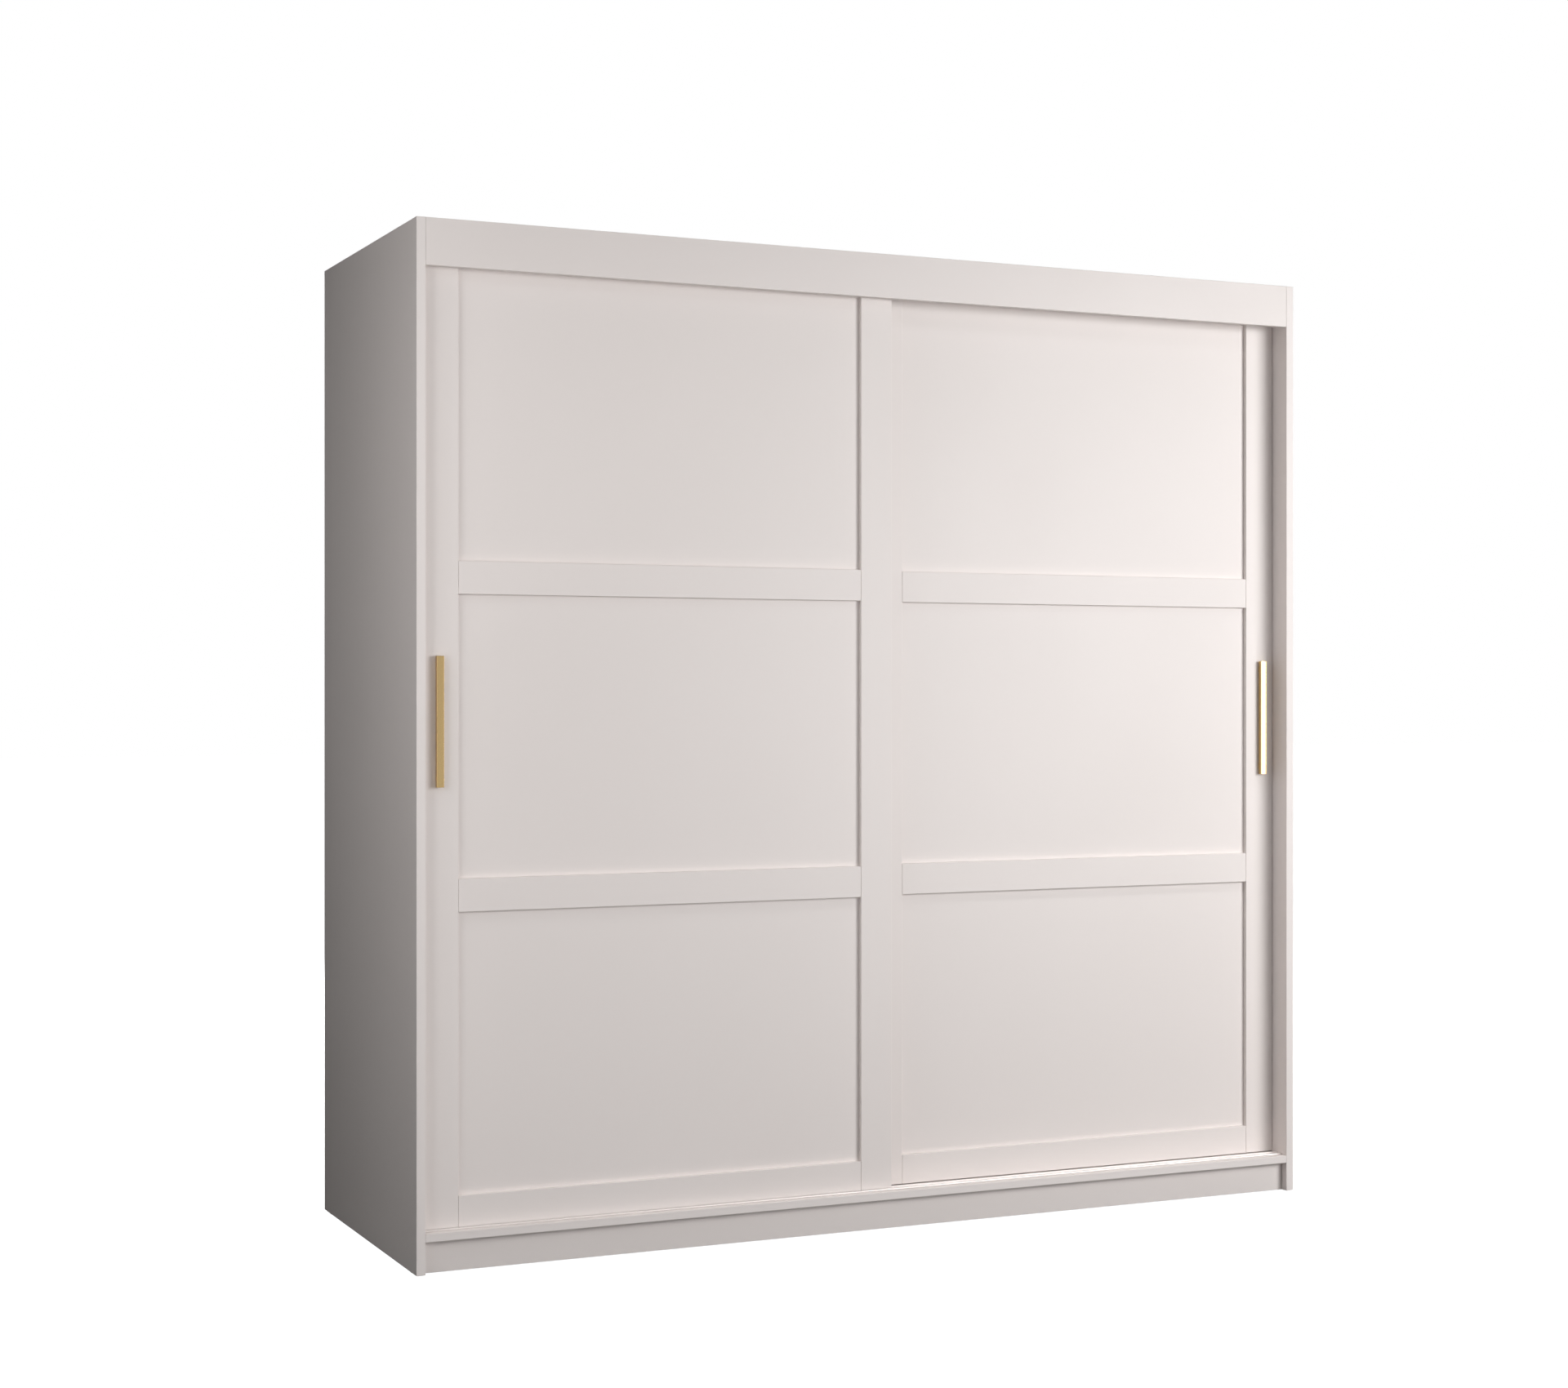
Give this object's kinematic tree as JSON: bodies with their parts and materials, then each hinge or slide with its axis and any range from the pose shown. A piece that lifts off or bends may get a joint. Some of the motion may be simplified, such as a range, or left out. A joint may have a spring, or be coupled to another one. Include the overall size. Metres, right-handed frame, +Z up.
{
  "type": "sliding door wardrobe",
  "caption": "White sliding-door wardrobe: board carcass with a hanging rail and shelves behind overlapping framed doors that roll on a beaded track, with slim vertical bar handles.",
  "frame": {"origin": "on the floor, under the middle of the footprint", "axes": "+X to the right as seen from the front, +Y towards the back, +Z up"},
  "size_m": [2, 0.69, 2],
  "materials": {
    "white_laminate": "matte white melamine on particle board",
    "white_door": "smooth matte white foil on fibreboard",
    "white_hardboard": "white-faced thin hardboard",
    "brushed_brass": "brushed satin brass",
    "track_aluminium": "satin anodised extrusion",
    "track_lacquer": "satin white lacquer over aluminium",
    "rail_chrome": "polished",
    "roller_steel": "zinc plated",
    "wheel_nylon": "natural nylon",
    "guide_plastic": "moulded grey",
    "stop_rubber": "matte black",
    "glide_plastic": "moulded off-white"
  },
  "bodies": {
    "carcass": {"side_panel_left": "white_laminate", "side_panel_right": "white_laminate", "top_panel": "white_laminate", "bottom_panel": "white_laminate", "centre_partition": "white_laminate", "fascia": "white_laminate", "plinth_front": "white_laminate", "plinth_rear": "white_laminate", "back_panel_left": "white_hardboard", "back_panel_right": "white_hardboard", "hat_shelf_left": "white_laminate", "hat_shelf_right": "white_laminate", "shelf_right_1": "white_laminate", "shelf_right_2": "white_laminate", "shelf_right_3": "white_laminate", "hanging_rail": "rail_chrome", "rail_cup_left": "rail_chrome", "rail_cup_right": "rail_chrome", "top_track": "track_aluminium", "bottom_track": "track_lacquer", "left_door_stop_left": "stop_rubber", "left_door_stop_right": "stop_rubber", "right_door_stop_left": "stop_rubber", "right_door_stop_right": "stop_rubber", "floor_glide_left_front": "glide_plastic", "floor_glide_left_rear": "glide_plastic", "floor_glide_right_front": "glide_plastic", "floor_glide_right_rear": "glide_plastic"},
    "left_door": {"left_door_panel": "white_door", "left_door_stile_left": "white_door", "left_door_stile_right": "white_door", "left_door_rail_bottom": "white_door", "left_door_rail_lower": "white_door", "left_door_rail_upper": "white_door", "left_door_rail_top": "white_door", "left_door_handle": "brushed_brass", "left_door_roller_housing_left": "roller_steel", "left_door_roller_housing_right": "roller_steel", "left_door_axle_left": "roller_steel", "left_door_axle_right": "roller_steel", "left_door_top_guide_left": "guide_plastic", "left_door_top_guide_right": "guide_plastic"},
    "right_door": {"right_door_panel": "white_door", "right_door_stile_left": "white_door", "right_door_stile_right": "white_door", "right_door_rail_bottom": "white_door", "right_door_rail_lower": "white_door", "right_door_rail_upper": "white_door", "right_door_rail_top": "white_door", "right_door_handle": "brushed_brass", "right_door_roller_housing_left": "roller_steel", "right_door_roller_housing_right": "roller_steel", "right_door_axle_left": "roller_steel", "right_door_axle_right": "roller_steel", "right_door_top_guide_left": "guide_plastic", "right_door_top_guide_right": "guide_plastic"},
    "left_door_left_roller": {"left_door_wheel_left": "wheel_nylon"},
    "left_door_right_roller": {"left_door_wheel_right": "wheel_nylon"},
    "right_door_left_roller": {"right_door_wheel_left": "wheel_nylon"},
    "right_door_right_roller": {"right_door_wheel_right": "wheel_nylon"}
  },
  "joints": [
    {"name": "left_door_slide", "type": "slide", "parent": "carcass", "child": "left_door", "axis": [1, 0, 0], "range_m": [0, 0.96]},
    {"name": "right_door_slide", "type": "slide", "parent": "carcass", "child": "right_door", "axis": [1, 0, 0], "range_m": [-0.96, 0]},
    {"name": "left_door_left_wheel_spin", "type": "hinge", "parent": "left_door", "child": "left_door_left_roller", "pos_m": [-0.861, -0.3105, 0.0933], "axis": [0, 1, 0], "continuous": true},
    {"name": "left_door_right_wheel_spin", "type": "hinge", "parent": "left_door", "child": "left_door_right_roller", "pos_m": [-0.105, -0.3105, 0.0933], "axis": [0, 1, 0], "continuous": true},
    {"name": "right_door_left_wheel_spin", "type": "hinge", "parent": "right_door", "child": "right_door_left_roller", "pos_m": [0.105, -0.2802, 0.0933], "axis": [0, 1, 0], "continuous": true},
    {"name": "right_door_right_wheel_spin", "type": "hinge", "parent": "right_door", "child": "right_door_right_roller", "pos_m": [0.861, -0.2802, 0.0933], "axis": [0, 1, 0], "continuous": true}
  ],
  "couplings": [
    {"joint": "left_door_left_wheel_spin", "follows": "left_door_slide", "rad_per_m": 117.65},
    {"joint": "left_door_right_wheel_spin", "follows": "left_door_slide", "rad_per_m": 117.65},
    {"joint": "right_door_left_wheel_spin", "follows": "right_door_slide", "rad_per_m": 117.65},
    {"joint": "right_door_right_wheel_spin", "follows": "right_door_slide", "rad_per_m": 117.65}
  ]
}
